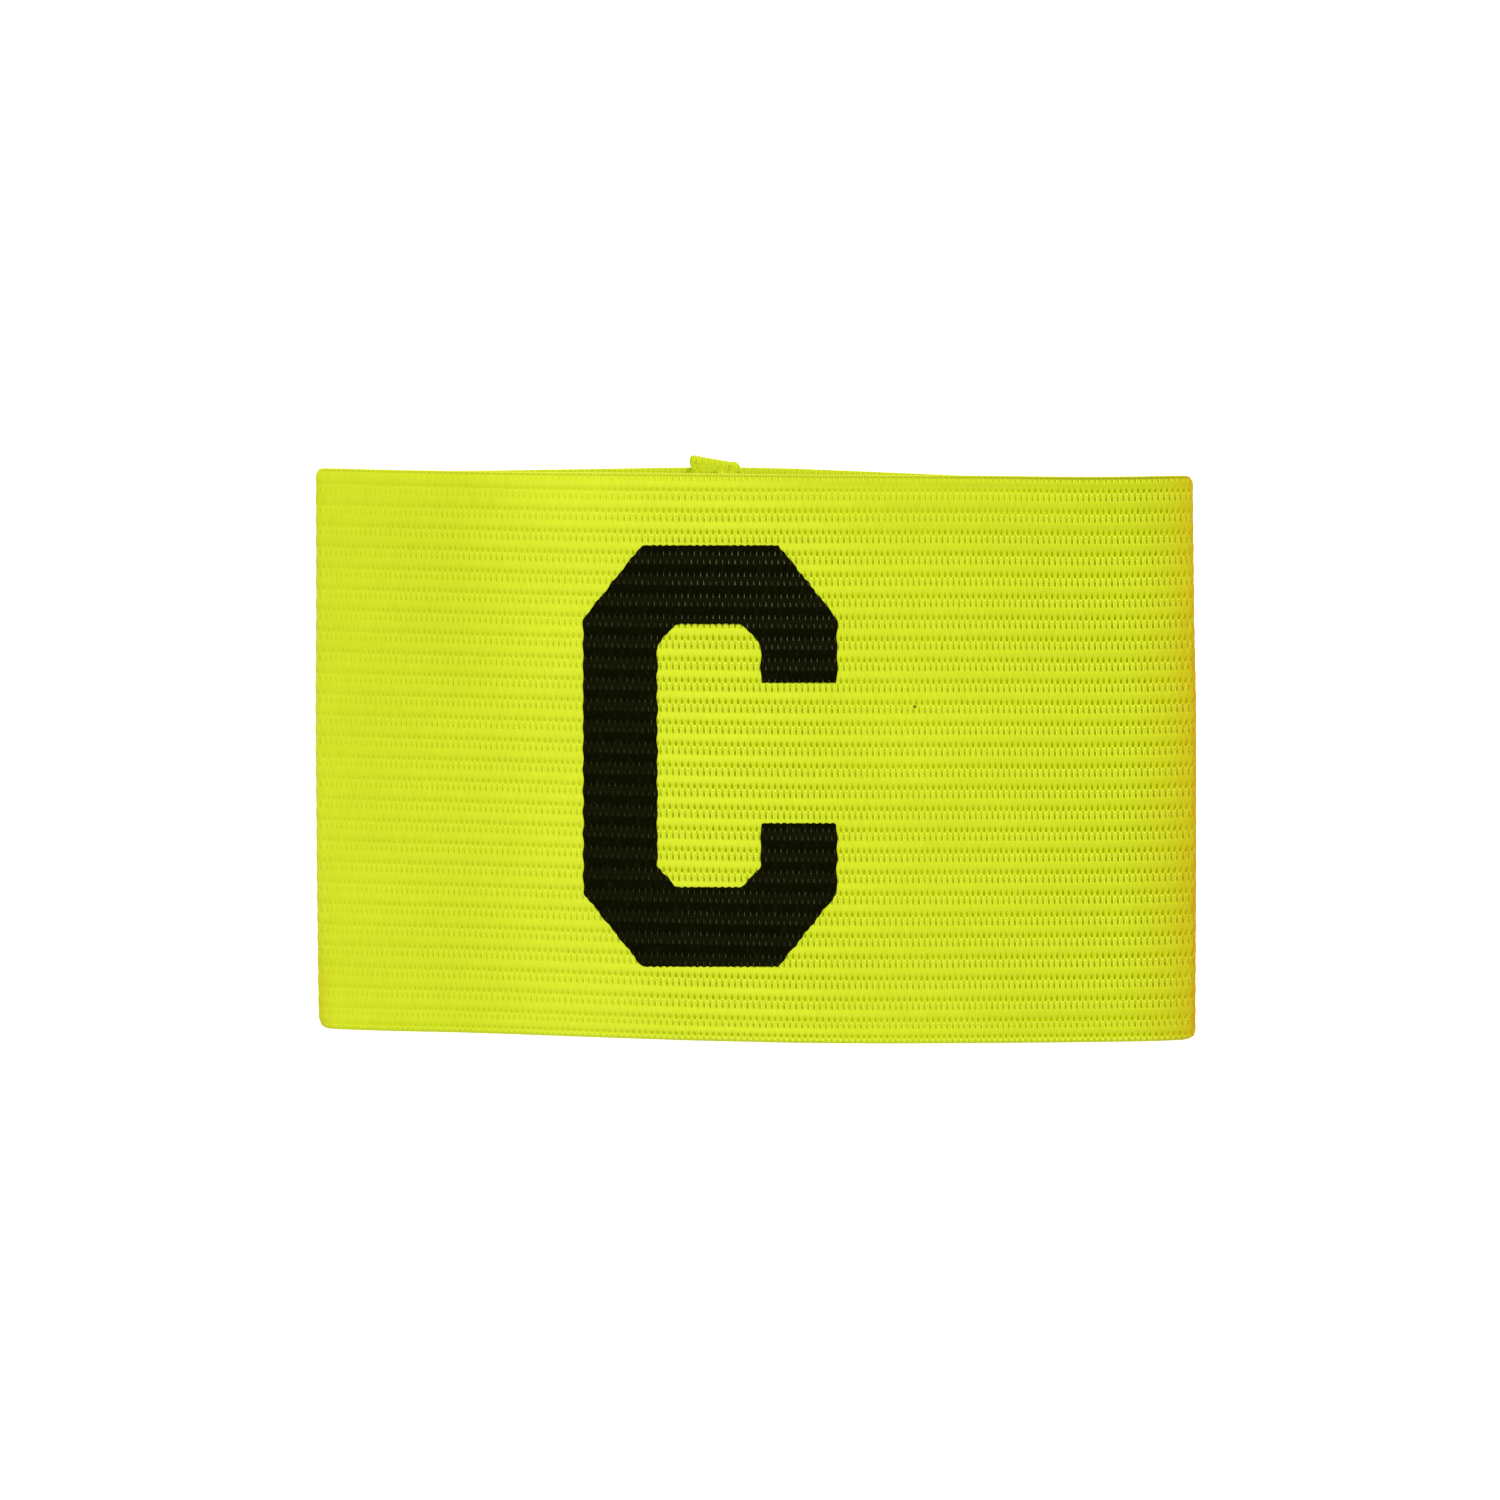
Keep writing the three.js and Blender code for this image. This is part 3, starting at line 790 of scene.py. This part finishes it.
def elastic_material():
    nodes = Nodes("ribbed_elastic")
    u, v = nodes.strip()
    clear = nodes.attribute("slot_depth")
    tint = nodes.attribute("fold_tint")
    lean = nodes.ramp(tint, 0.0, 0.5, *SLOT_LEAN)
    upper, lower, link, dash, legs, f = knit(nodes, u, v, lean)
    zones = elastic_zones(nodes, u)
    slots = nodes.times(open_slots(nodes, u, v, (upper, lower, link), zones), clear)
    # the raised dashes and thread legs, for their painted highlight and their bump
    raised = nodes.times(nodes.larger(dash, legs), clear)
    groove_shade = nodes.larger(nodes.within(f, *GROOVE_SHADE_ROWS[0]), nodes.within(f, *GROOVE_SHADE_ROWS[1]))
    threads = nodes.strip_noise(nodes.add(u, nodes.times(v, tint, 0.8)), v, 2.6, 0.8, 3.0, 0.6)

    colour = shaded_yellow(nodes, u, v, f, threads, zones)
    # painted shade in the grooves between the ribs
    colour = nodes.mix(nodes.times(groove_shade, clear, GROOVE_SHADE_SHARE), colour, GROOVE_SHADE_YELLOW)
    # painted highlight on the raised dashes and thread legs
    colour = nodes.mix(nodes.times(raised, LEG_HIGHLIGHT_SHARE), colour, BRIGHT_YELLOW)
    # painted shade in the knit's slots
    colour = nodes.mix(nodes.times(slots, SLOT_SHADE_SHARE), colour, SLOT_SHADE_GREEN)
    colour = edge_marks(nodes, u, v, colour, zones)
    colour = fold_shade_and_marks(nodes, u, v, colour, tint)

    nodes.feed(nodes.shader.inputs["Base Color"], colour)
    nodes.feed(nodes.shader.inputs["Roughness"], nodes.ramp(threads, 0.2, 0.8, 0.72, 0.9))
    nodes.shader.inputs["Specular IOR Level"].default_value = 0.02
    height = nodes.add(nodes.times(slots, -1.0), nodes.times(threads, 0.25))
    nodes.bump(nodes.add(height, nodes.times(raised, 0.5)), 0.18 * MM)
    return nodes.material


# How far the print's pinholes lean, their width as a share of the slots', and how much lighter the print is,
# partly worn and partly a painted highlight on its narrow ribs and raised threads
PINHOLE_LEAN = 0.1
PINHOLE_WIDTH = 0.55
NARROW_RIB_WEAR_AND_HIGHLIGHT = 0.5
WEAR_AND_HIGHLIGHT_SHARE = 0.6


def print_material():
    nodes = Nodes("black_print")
    u, v = nodes.strip()
    upper, lower, _, dash, legs, f = knit(nodes, u, v, PINHOLE_LEAN, PINHOLE_WIDTH)
    clear = nodes.attribute("pinholes")
    size = nodes.ramp(nodes.random(nodes.add(u, 0.5), nodes.add(v, 0.4)), 0.0, 1.0, 0.35, 1.0)
    low_size = nodes.ramp(nodes.random(u, nodes.add(v, 37.0)), 0.0, 1.0, 0.3, 0.95)
    high = nodes.times(nodes.ramp(upper, 0.35, 0.9), size)
    low = nodes.times(nodes.ramp(lower, 0.35, 0.9), low_size)
    holes = nodes.times(nodes.larger(high, low), clear)
    cover = nodes.strip_noise(u, v, 1.3, 2.0, 3.0, 0.6)
    # lighter on the narrow ribs as painted highlight, and in patches where the print is thin
    rib_end = nodes.ramp(f, 0.1, 0.45, NARROW_RIB_WEAR_AND_HIGHLIGHT, 0.0)
    rib_start = nodes.ramp(f, 0.9, 1.0, 0.0, NARROW_RIB_WEAR_AND_HIGHLIGHT)
    thin_and_lit = nodes.larger(nodes.larger(rib_end, rib_start), nodes.ramp(cover, 0.5, 0.75))
    # worn print and painted highlight on the raised dashes and thread legs
    worn_and_lit = nodes.larger(nodes.larger(dash, legs), thin_and_lit)
    colour = nodes.mix(nodes.times(worn_and_lit, WEAR_AND_HIGHLIGHT_SHARE), PRINT_BLACK, PRINT_GREY)
    colour = nodes.mix(holes, colour, PINHOLE)
    nodes.feed(nodes.shader.inputs["Base Color"], colour)
    nodes.feed(nodes.shader.inputs["Roughness"], nodes.ramp(cover, 0.2, 0.8, 0.6, 0.8))
    nodes.shader.inputs["Specular IOR Level"].default_value = 0.0
    dents = nodes.larger(upper, lower)
    nodes.bump(nodes.add(nodes.times(dents, -0.7), nodes.times(cover, 0.2)), 0.14 * MM)
    return nodes.material


PLY_SCALE = 2500.0


def thread_material():
    nodes = Nodes("sewing_thread")
    place = nodes.tree.nodes.new("ShaderNodeTexCoord").outputs["Object"]
    ply = nodes.noise(place, 2.0, 0.6, PLY_SCALE)
    colour = nodes.mix(nodes.ramp(ply, 0.3, 0.7), BRIGHT_YELLOW, YELLOW)
    nodes.feed(nodes.shader.inputs["Base Color"], colour)
    nodes.feed(nodes.shader.inputs["Roughness"], nodes.ramp(ply, 0.2, 0.8, 0.6, 0.85))
    nodes.shader.inputs["Specular IOR Level"].default_value = 0.2
    nodes.bump(ply, 0.06 * MM)
    return nodes.material


# Elastic band

# The rounded bead along each edge: its rows, and the share of the edge's thickness on the outer two
BEAD_ROUND = 0.14 * MM
BEAD_CLEAR = 0.3 * MM
BEAD_SHARES = (0.45, 0.95)
# Brown painted shade of the right fold: its wide reach, its narrow one, and their shares, the second a steep
# one
TINT_REACH = 10 * MM
TINT_EDGE = 1.0 * MM
TINT_SHARES = (0.44, 0.43, 0.45)
# Faint tint of the lower left corner
LEFT_TINT = 0.35
LEFT_TINT_REACH = 2.5 * MM
# Pairs of ribs over which the marks fade, and the shares there
TINT_ROWS = ((0, 8), (0.75, 1))
LEFT_TINT_ROWS = ((18, 25), (0, 1))
CREASE_ROWS = ((0.6, 3, 21, 24), (0, 1, 1, 0))


def band_rows(fractions):
    """Places across the strip in pairs of ribs, with the share of the edge's thickness at the bead's rows."""
    half_width = BAND_WIDTH / 2
    first, last = ribs_at(half_width - BEAD_CLEAR), ribs_at(BEAD_CLEAR - half_width)
    rim, next_row = BEAD_SHARES
    rows = [(ribs_at(half_width), rim), (ribs_at(half_width - BEAD_ROUND), next_row)]
    for pair in range(-1, LAST_PAIR + 1):
        rows.extend((pair + f, 1.0) for f in fractions if first < pair + f < last)
    rows += [(ribs_at(BEAD_ROUND - half_width), next_row), (ribs_at(-half_width), rim)]
    return np.array(rows)


def fold_marks(u, v):
    """How strong the brown painted shade of the right fold is at each place, and the crease beside the left
    one.
    """
    x, z, out_x = path.at(u, "x", "z", "out_x")
    from_right = -LEFT_EDGE - x - out_x * HALF
    near = np.clip(1 - from_right / TINT_REACH, 0, 1)
    edge = np.clip(1 - from_right / TINT_EDGE, 0, 1)
    wide, steep, narrow = TINT_SHARES
    tint = (wide * near + steep * near ** 4 + narrow * edge) * np.interp(v, *TINT_ROWS)
    from_left = x + out_x * HALF - LEFT_EDGE
    left = np.clip(1 - from_left / LEFT_TINT_REACH, 0, 1)
    tint += LEFT_TINT * left * np.interp(v, *LEFT_TINT_ROWS)
    from_crease = x - LEFT_EDGE - CREASE_INSET
    crease = np.exp(-((from_crease / CREASE_WIDTH) ** 2)) * (z > LEFT_CENTRE[1])
    crease = crease * np.interp(v, *CREASE_ROWS)
    return tint, crease


def elastic_band():
    columns = path.columns(OUTER_STEPS), path.columns(INNER_STEPS)
    rows = band_rows(RIB_PROFILE[:-1, 0]), band_rows(INNER_ROWS)
    points, uvs, depths, tints, creases, grids = [], [], [], [], [], []
    for u_line, v_line, side in ((columns[0], rows[0], 1), (columns[1], rows[1], -1)):
        u, v = np.meshgrid(u_line, v_line[:, 0])
        edge = np.repeat(v_line[:, 1:], len(u_line), 1)
        relief = half_thickness(path, u, v, 1.0 if side > 0 else 0.0)
        half = np.where(edge < 1, EDGE_THICKNESS / 2 * edge, relief)
        first = sum(grid.size for grid in grids)
        grids.append(first + np.arange(u.size).reshape(u.shape))
        points.append(surface(path, u, v, side * half).reshape(-1, 3))
        uvs.append(np.stack([u, v], -1).reshape(-1, 2))
        tint, crease = fold_marks(u, v)
        depths.append(path.at(u, "slots").ravel())
        tints.append(tint.ravel())
        creases.append(crease.ravel())
    outer, inner = grids
    faces = grid_faces(0, *outer.shape, False) + grid_faces(outer.size, *inner.shape, True)
    outer_v, inner_v = rows[0][:, 0], rows[1][:, 0]
    for edge, flip in ((0, False), (-1, True)):
        faces += zipped(outer[edge].tolist(), columns[0], inner[edge].tolist(), columns[1], flip)
        faces += zipped(outer[:, edge].tolist(), outer_v, inner[:, edge].tolist(), inner_v, not flip)
    attributes = {
        "slot_depth": np.concatenate(depths),
        "fold_tint": np.concatenate(tints),
        "crease": np.concatenate(creases),
    }
    points, uvs = np.concatenate(points), np.concatenate(uvs)
    return add_mesh("ribbed_elastic_loop", points, faces, elastic_material(), uvs, attributes)


# Printed letter, a little larger than its solid where the print has bled

BLEED = (-0.03 * MM, 0.15 * MM)
SPINE_STROKE = 10.48 * MM
UPPER_STROKE = 11.15 * MM
LOWER_STROKE = 11.3 * MM
TERMINAL_STROKE = 10.82 * MM
UPPER_TERMINAL = 19.45 * MM
LOWER_TERMINAL = 20.4 * MM
OUTER_CORNER = (8.3 * MM, 10.4 * MM)
INNER_CORNER = (2.65 * MM, 2.9 * MM)
LETTER_WIDTH = letter_high[0] - letter_low[0] + 2 * BLEED[0]
LETTER_HEIGHT = letter_high[1] - letter_low[1] + 2 * BLEED[1]
LETTER_MIDDLE = (LETTER_OFFSET, LETTER_RISE - 0.09 * MM)

FILM_LIFT = 0.13 * MM
FILM_THICKNESS = 0.08 * MM
FILM_DENT = 0.6
OUTLINE_STEP = 0.15 * MM
OUTER_ROUND = 1.5 * MM
INNER_ROUND = 1.3 * MM
EDGE_WAVE = 0.08 * MM
GRID_CLEAR = 0.12 * MM
# Waves of the letter's edge: the slots' and an uneven one, as shares of EDGE_WAVE
SLOT_WAVE = 0.5
UNEVEN_WAVE = 0.55
# How clearly the pinholes show: shares of the letter's width or height, and the strengths there
PINHOLES_X = ((0, 0.18, 0.35, 0.5, 0.8, 1), (0.32, 0.32, 0.45, 0.65, 0.6, 0.5))
PINHOLES_Y = ((0, 0.15, 0.4, 1), (1.2, 1.0, 0.7, 0.55))


def letter_corners():
    """The letter's corners in plan, from the upper terminal, and the count of its outer ones."""
    right, top = LETTER_WIDTH / 2, LETTER_HEIGHT / 2
    left, bottom = -right, -top
    run, rise = OUTER_CORNER
    inner_run, inner_rise = INNER_CORNER
    inner_left, inner_right = left + SPINE_STROKE, right - TERMINAL_STROKE
    inner_top, inner_bottom = top - UPPER_STROKE, bottom + LOWER_STROKE
    outer = [
        (inner_right, top - UPPER_TERMINAL), (right, top - UPPER_TERMINAL), (right, top - rise),
        (right - run, top), (left + run, top), (left, top - rise), (left, bottom + rise),
        (left + run, bottom), (right - run, bottom), (right, bottom + rise),
        (right, bottom + LOWER_TERMINAL), (inner_right, bottom + LOWER_TERMINAL),
    ]
    inner = [
        (inner_right, inner_bottom + inner_rise), (inner_right - inner_run, inner_bottom),
        (inner_left + inner_run, inner_bottom), (inner_left, inner_bottom + inner_rise),
        (inner_left, inner_top - inner_rise), (inner_left + inner_run, inner_top),
        (inner_right - inner_run, inner_top), (inner_right, inner_top - inner_rise),
    ]
    return np.array(outer + inner), len(outer)


def rounded(ring, reach):
    window = np.hanning(round(reach / OUTLINE_STEP) + 2)[1:-1]
    pad = len(window)
    long = np.concatenate([ring[-pad:], ring, ring[:pad]])
    soft = [np.convolve(long[:, k], window / window.sum(), "same")[pad:-pad] for k in (0, 1)]
    return np.stack(soft, -1)


def letter_outline():
    """The outline in plan, with soft corners and an edge that waves with the ribs and the slots."""
    corners, outer_count = letter_corners()
    dense, is_inner = [], []
    for k, (a, b) in enumerate(zip(corners, np.roll(corners, -1, 0))):
        count = max(2, round(math.dist(a, b) / OUTLINE_STEP))
        dense.extend(a + (b - a) * i / count for i in range(count))
        is_inner.extend([k >= outer_count - 1] * count)
    dense = np.array(dense)
    far = np.abs(dense[:, 1]) < LETTER_HEIGHT / 2 - LOWER_STROKE - 2 * INNER_CORNER[1]
    use_inner = np.array(is_inner) & ~far
    soft = np.where(use_inner[:, None], rounded(dense, INNER_ROUND), rounded(dense, OUTER_ROUND))
    ahead = np.roll(soft, -1, 0) - np.roll(soft, 1, 0)
    outward = np.stack([-ahead[:, 1], ahead[:, 0]], -1) / np.linalg.norm(ahead, axis=1)[:, None]
    u, v = plan_to_strip(soft)
    upright = np.abs(outward[:, 0])
    wave = EDGE_WAVE * upright * np.cos(2 * np.pi * (v - 0.75))
    wave += SLOT_WAVE * EDGE_WAVE * np.sqrt(1 - upright ** 2) * np.cos(2 * np.pi * u)
    wave += UNEVEN_WAVE * EDGE_WAVE * np.sin(5.3 * u + 1.7 * np.sin(2.9 * v))
    return soft + outward * wave[:, None]


def plan_to_strip(points):
    """Slot and rib counts below points of the letter's own plan."""
    u = path.front_u(points[:, 0] + LETTER_MIDDLE[0])
    shift, width = path.at(u, "shift", "width")
    return u, ribs_at((points[:, 1] + LETTER_MIDDLE[1] - shift) / width)


def strip_to_plan(u, v):
    x, shift, width = path.at(u, "x", "shift", "width")
    return np.stack([x - LETTER_MIDDLE[0], across_of(v) * width + shift - LETTER_MIDDLE[1]], -1)


def distance_to(points, outline):
    """Distance of each point to the outline, and whether it lies inside."""
    best = np.full(len(points), np.inf)
    inside = np.zeros(len(points), bool)
    for p, q in zip(outline, np.roll(outline, -1, 0)):
        d = q - p
        t = np.clip(((points - p) @ d) / (d @ d), 0, 1)
        best = np.minimum(best, np.linalg.norm(points - p - t[:, None] * d, axis=1))
        if p[1] != q[1]:
            crosses = (points[:, 1] > p[1]) != (points[:, 1] > q[1])
            inside ^= crosses & (points[:, 0] < p[0] + (points[:, 1] - p[1]) * d[0] / d[1])
    return best, inside


def captain_letter():
    outline = letter_outline()
    reach = LETTER_WIDTH / 2 + MM
    u_low, u_high = path.front_u(np.array([LETTER_OFFSET - reach, LETTER_OFFSET + reach]))
    u_grid = np.arange(math.floor(u_low), math.ceil(u_high), 0.5)
    v_grid = np.concatenate([pair + RIB_PROFILE[:-1, 0] for pair in range(LAST_PAIR)])
    u, v = [a.ravel() for a in np.meshgrid(u_grid, v_grid)]
    grid = strip_to_plan(u, v)
    away, inside = distance_to(grid, outline)
    plan = np.concatenate([outline, grid[inside & (away > GRID_CLEAR)]])
    ring = list(range(len(outline)))
    found = delaunay_2d_cdt([Vector(p / MM) for p in plan], [], [ring], 1, 1e-6)
    flat = np.array([tuple(p) for p in found[0]]) * MM
    u, v = plan_to_strip(flat)
    points = surface(path, u, v, half_thickness(path, u, v, FILM_DENT) + FILM_LIFT)
    x_share = flat[:, 0] / LETTER_WIDTH + 0.5
    y_share = 0.5 - flat[:, 1] / LETTER_HEIGHT
    pinholes = np.interp(x_share, *PINHOLES_X) * np.interp(y_share, *PINHOLES_Y)
    piece = add_mesh(
        "captain_letter_print", points, [list(face) for face in found[2]], print_material(),
        np.stack([u, v], -1), {"pinholes": pinholes})
    film = piece.modifiers.new("thickness", "SOLIDIFY")
    film.thickness = FILM_THICKNESS
    film.offset = -1
    return piece


# Threads of the seam: a lockstitch through both ends, an overlock round them, and loose fibres

STITCH_INSET = 4.4 * MM
STITCH_LENGTH = 2.4 * MM
STITCH_PITCH = STITCH_LENGTH * 1.12
STITCH_RADIUS = 0.16 * MM
OVERLOCK_INSET = 2.4 * MM
OVERLOCK_PITCH = 2.2 * MM
OVERLOCK_RADIUS = 0.12 * MM
# Steps of the overlock: its lift between inset and rim, its turn over the rim, and its rim thread
OVERLOCK_LIFT = np.array([0, 0, 0.1]) * MM
OVERLOCK_TURN = np.array([-0.22, 0.1, -0.4]) * MM
RIM_THREAD = np.array([-0.18, 0, -0.2]) * MM
FIBRES = 140
FIBRE_RADIUS = 0.03 * MM


def seam_threads():
    vertices, faces = [], []

    def thread(points, radius, sides):
        found, rings = tube(points, radius, sides, sum(map(len, vertices)))
        vertices.append(found)
        faces.extend(rings)

    def upper(inset, across, lift):
        """A point above the upper end's face, which is the strip's inner face there."""
        u = np.interp(path.s[-1] - inset, path.s, path.u)
        return surface(path, u, ribs_at(across), -(HALF + lift))

    half_width = BAND_WIDTH / 2 - MM
    for start in np.arange(-half_width, half_width - STITCH_LENGTH, STITCH_PITCH):
        share = np.linspace(0, 1, 9)
        lift = STITCH_RADIUS * (2 * np.sin(np.pi * share) ** 0.5 - 1.3)
        stitch = [upper(STITCH_INSET, start + STITCH_LENGTH * k, h) for k, h in zip(share, lift)]
        thread(stitch, STITCH_RADIUS, 6)
    bottom = 2 * LEFT_RADIUS - OVERLOCK_RADIUS
    knots = []
    for start in np.arange(-half_width, half_width - OVERLOCK_PITCH, OVERLOCK_PITCH):
        inner = upper(OVERLOCK_INSET, start, OVERLOCK_RADIUS * 0.6)
        rim = upper(0.05 * MM, start + OVERLOCK_PITCH * 0.4, OVERLOCK_RADIUS * 0.8)
        middle = 0.5 * (inner + rim) + OVERLOCK_LIFT
        turned = rim + OVERLOCK_TURN
        foot = np.array([turned[0], turned[1] + 0.2 * MM, bottom])
        thread([inner, middle, rim, turned, 0.5 * (turned + foot), foot], OVERLOCK_RADIUS, 5)
        knots += [inner, rim]
    thread(knots[0::2], OVERLOCK_RADIUS, 5)
    thread([knot + RIM_THREAD for knot in knots[1::2]], OVERLOCK_RADIUS, 5)
    random = np.random.default_rng(7)
    for _ in range(FIBRES):
        u = path.u[-1] if random.random() < 0.5 else path.u[0]
        v = random.uniform(-0.75, LAST_PAIR)
        root = surface(path, u, v, random.uniform(-0.6, 0.6) * MM)
        aim = np.array([-1, random.normal(0, 0.5), random.normal(0, 0.35)])
        bend_aim = np.array([0, random.normal(0, 0.4), random.normal(0, 0.3)])
        length = random.uniform(0.2, 0.8) * MM
        share = np.linspace(0, 1, 4)[:, None]
        thread(root + length * (share * aim + share ** 2 * bend_aim), FIBRE_RADIUS, 3)
    return add_mesh("seam_threads", np.concatenate(vertices), faces, thread_material())


# Camera, floor and lights

PHOTO_WIDTH = 212.7 * MM
CAMERA_DISTANCE = 0.7
CAMERA_TILT = math.radians(2.5)
SENSOR = 36.0
TARGET = Vector((-0.8 * MM, 0.2 * MM, 9 * MM))
FLOOR_SIZE = 3.0
FLOOR_WHITE = (0.93, 0.93, 0.93, 1)
FLOOR_GLOW = 0.6
WORLD_STRENGTH = 0.5
# Place, size, power and colour of the two lights
KEY_LIGHT = ((0.1, 0.98, 1.42), 0.9, 20.8, (1, 0.985, 0.97))
FILL_LIGHT = ((0.4, -1.0, 1.2), 1.0, 5.0, (0.98, 0.99, 1))


def add_camera():
    data = bpy.data.cameras.new("camera")
    data.sensor_width = SENSOR
    data.lens = SENSOR * CAMERA_DISTANCE / PHOTO_WIDTH
    data.clip_start = 0.05
    camera = bpy.data.objects.new("camera", data)
    bpy.context.scene.collection.objects.link(camera)
    toward = Vector((0, math.sin(CAMERA_TILT), math.cos(CAMERA_TILT)))
    camera.location = TARGET + toward * CAMERA_DISTANCE
    camera.rotation_euler = (-CAMERA_TILT, 0, 0)
    bpy.context.scene.camera = camera


def add_area(name, place, size, power, colour):
    data = bpy.data.lights.new(name, "AREA")
    data.shape = "DISK"
    data.size = size
    data.energy = power
    data.color = colour
    light = bpy.data.objects.new(name, data)
    bpy.context.scene.collection.objects.link(light)
    light.location = place
    light.rotation_euler = (-Vector(place)).to_track_quat("-Z", "Y").to_euler()


def add_floor():
    nodes = Nodes("floor_paper")
    nodes.shader.inputs["Base Color"].default_value = FLOOR_WHITE
    nodes.shader.inputs["Roughness"].default_value = 0.9
    nodes.shader.inputs["Specular IOR Level"].default_value = 0.0
    nodes.shader.inputs["Emission Color"].default_value = (1, 1, 1, 1)
    nodes.shader.inputs["Emission Strength"].default_value = FLOOR_GLOW
    corners = [(x * FLOOR_SIZE, y * FLOOR_SIZE, 0) for x, y in ((-1, -1), (1, -1), (1, 1), (-1, 1))]
    floor = add_mesh("floor", corners, [(0, 1, 2, 3)], nodes.material)
    return floor


def add_world(strength):
    world = bpy.data.worlds.new("studio")
    bpy.context.scene.world = world
    world.use_nodes = True
    background = world.node_tree.nodes["Background"]
    background.inputs["Color"].default_value = (1, 1, 1, 1)
    background.inputs["Strength"].default_value = strength


add_camera()
floor = add_floor()
add_world(WORLD_STRENGTH)
add_area("key", *KEY_LIGHT)
add_area("fill", *FILL_LIGHT)
view = bpy.context.scene.view_settings
view.view_transform = "Standard"
view.look = "None"

band = elastic_band()
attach(band, "root")
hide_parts("elastic_band")

letter = captain_letter()
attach(letter, "root")
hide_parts("captain_letter")

threads = seam_threads()
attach(threads, "root")
